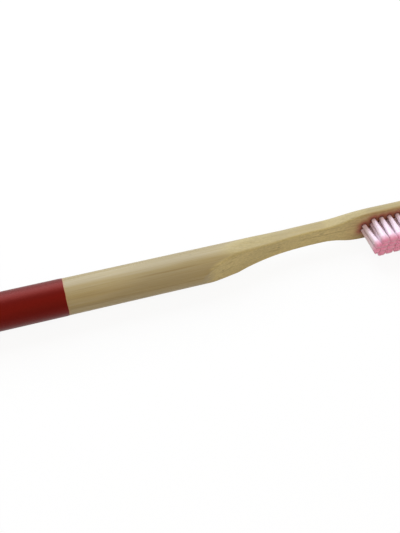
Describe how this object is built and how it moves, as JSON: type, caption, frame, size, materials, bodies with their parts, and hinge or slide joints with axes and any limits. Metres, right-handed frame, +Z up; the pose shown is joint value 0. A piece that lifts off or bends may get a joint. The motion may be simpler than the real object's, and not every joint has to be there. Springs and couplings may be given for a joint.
{
  "type": "manual toothbrush",
  "caption": "Bamboo toothbrush with a round handle, a paint-dipped butt end, a milled neck and a flat head of pale pink nylon tufts.",
  "frame": {"origin": "on the ground under the middle of the brush's box, lying on its side", "axes": "+X along the handle towards the head, the tufts point to -Y, +Z up across the width of the head"},
  "size_m": [0.19, 0.0142, 0.012],
  "materials": {
    "bamboo": "sanded, unvarnished",
    "red_paint": "satin dip coat",
    "nylon": "translucent filaments",
    "anchor_brass": "sheared strip"
  },
  "bodies": {
    "root": {"bamboo_handle": "bamboo", "dip_coat": "red_paint", "tuft_01": "nylon", "tuft_02": "nylon", "tuft_03": "nylon", "tuft_04": "nylon", "tuft_05": "nylon", "tuft_06": "nylon", "tuft_07": "nylon", "tuft_08": "nylon", "tuft_09": "nylon", "tuft_10": "nylon", "tuft_11": "nylon", "tuft_12": "nylon", "tuft_13": "nylon", "tuft_14": "nylon", "tuft_15": "nylon", "tuft_16": "nylon", "tuft_17": "nylon", "tuft_18": "nylon", "tuft_19": "nylon", "tuft_20": "nylon", "tuft_21": "nylon", "tuft_22": "nylon", "tuft_23": "nylon", "tuft_24": "nylon", "tuft_25": "nylon", "tuft_26": "nylon", "tuft_27": "nylon", "tuft_28": "nylon", "tuft_29": "nylon", "tuft_30": "nylon", "tuft_31": "nylon", "tuft_32": "nylon", "tuft_33": "nylon", "tuft_34": "nylon", "tuft_35": "nylon", "tuft_36": "nylon", "tuft_anchors": "anchor_brass"}
  },
  "joints": []
}
